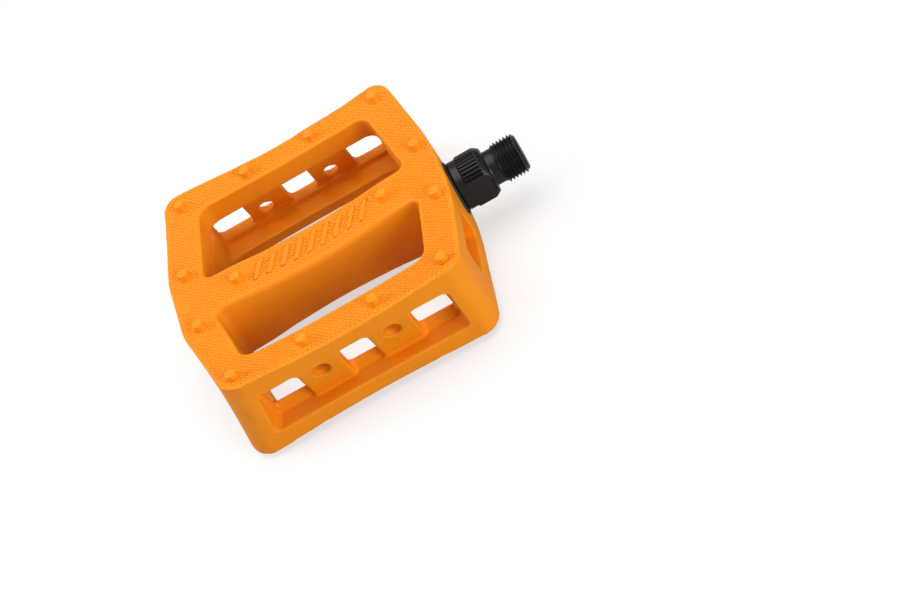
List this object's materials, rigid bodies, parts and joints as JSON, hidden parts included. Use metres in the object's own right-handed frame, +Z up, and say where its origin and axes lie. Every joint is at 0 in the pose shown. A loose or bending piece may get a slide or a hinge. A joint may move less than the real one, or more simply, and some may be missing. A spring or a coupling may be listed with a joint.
{
  "type": "platform pedal",
  "caption": "Concave platform pedal with moulded grip pins, two windows and hollow rails, turning on loose ball bearings about a threaded steel spindle.",
  "frame": {"origin": "centre of the threaded end face of the spindle", "axes": "+X along the spindle towards the crank, +Z up out of one tread face, +Y along the tread"},
  "size_m": [0.1256, 0.1052, 0.033],
  "materials": {
    "orange_nylon": "matte moulded nylon with a fine cross-hatched grip texture on the treads",
    "black_steel": "satin black oxide",
    "bearing_steel": "ground and greased",
    "ball_steel": "polished",
    "zinc_steel": "zinc plated",
    "seal_rubber": "matte",
    "black_plastic": "satin, with grey raised relief"
  },
  "bodies": {
    "spindle_assembly": {"spindle": "black_steel", "adjusting_cone": "bearing_steel", "lock_washer": "zinc_steel", "lock_nut": "zinc_steel"},
    "pedal": {"pedal_body": "orange_nylon", "inner_bearing_cup": "bearing_steel", "outer_bearing_cup": "bearing_steel", "dust_seal": "seal_rubber", "end_cap": "black_plastic"},
    "inner_ball_set": {"inner_ball_01": "ball_steel", "inner_ball_02": "ball_steel", "inner_ball_03": "ball_steel", "inner_ball_04": "ball_steel", "inner_ball_05": "ball_steel", "inner_ball_06": "ball_steel", "inner_ball_07": "ball_steel", "inner_ball_08": "ball_steel", "inner_ball_09": "ball_steel", "inner_ball_10": "ball_steel", "inner_ball_11": "ball_steel", "inner_ball_12": "ball_steel", "inner_ball_13": "ball_steel"},
    "outer_ball_set": {"outer_ball_01": "ball_steel", "outer_ball_02": "ball_steel", "outer_ball_03": "ball_steel", "outer_ball_04": "ball_steel", "outer_ball_05": "ball_steel", "outer_ball_06": "ball_steel", "outer_ball_07": "ball_steel", "outer_ball_08": "ball_steel", "outer_ball_09": "ball_steel", "outer_ball_10": "ball_steel", "outer_ball_11": "ball_steel", "outer_ball_12": "ball_steel"}
  },
  "joints": [
    {"name": "pedal_spin", "type": "hinge", "parent": "spindle_assembly", "child": "pedal", "pos_m": [-0.0747, 0, 0], "axis": [1, 0, 0], "continuous": true},
    {"name": "inner_balls_orbit", "type": "hinge", "parent": "spindle_assembly", "child": "inner_ball_set", "pos_m": [-0.0332, 0, 0], "axis": [1, 0, 0], "continuous": true},
    {"name": "outer_balls_orbit", "type": "hinge", "parent": "spindle_assembly", "child": "outer_ball_set", "pos_m": [-0.1106, 0, 0], "axis": [1, 0, 0], "continuous": true}
  ],
  "couplings": [
    {"joint": "inner_balls_orbit", "follows": "pedal_spin", "ratio": 0.573},
    {"joint": "outer_balls_orbit", "follows": "pedal_spin", "ratio": 0.577}
  ]
}
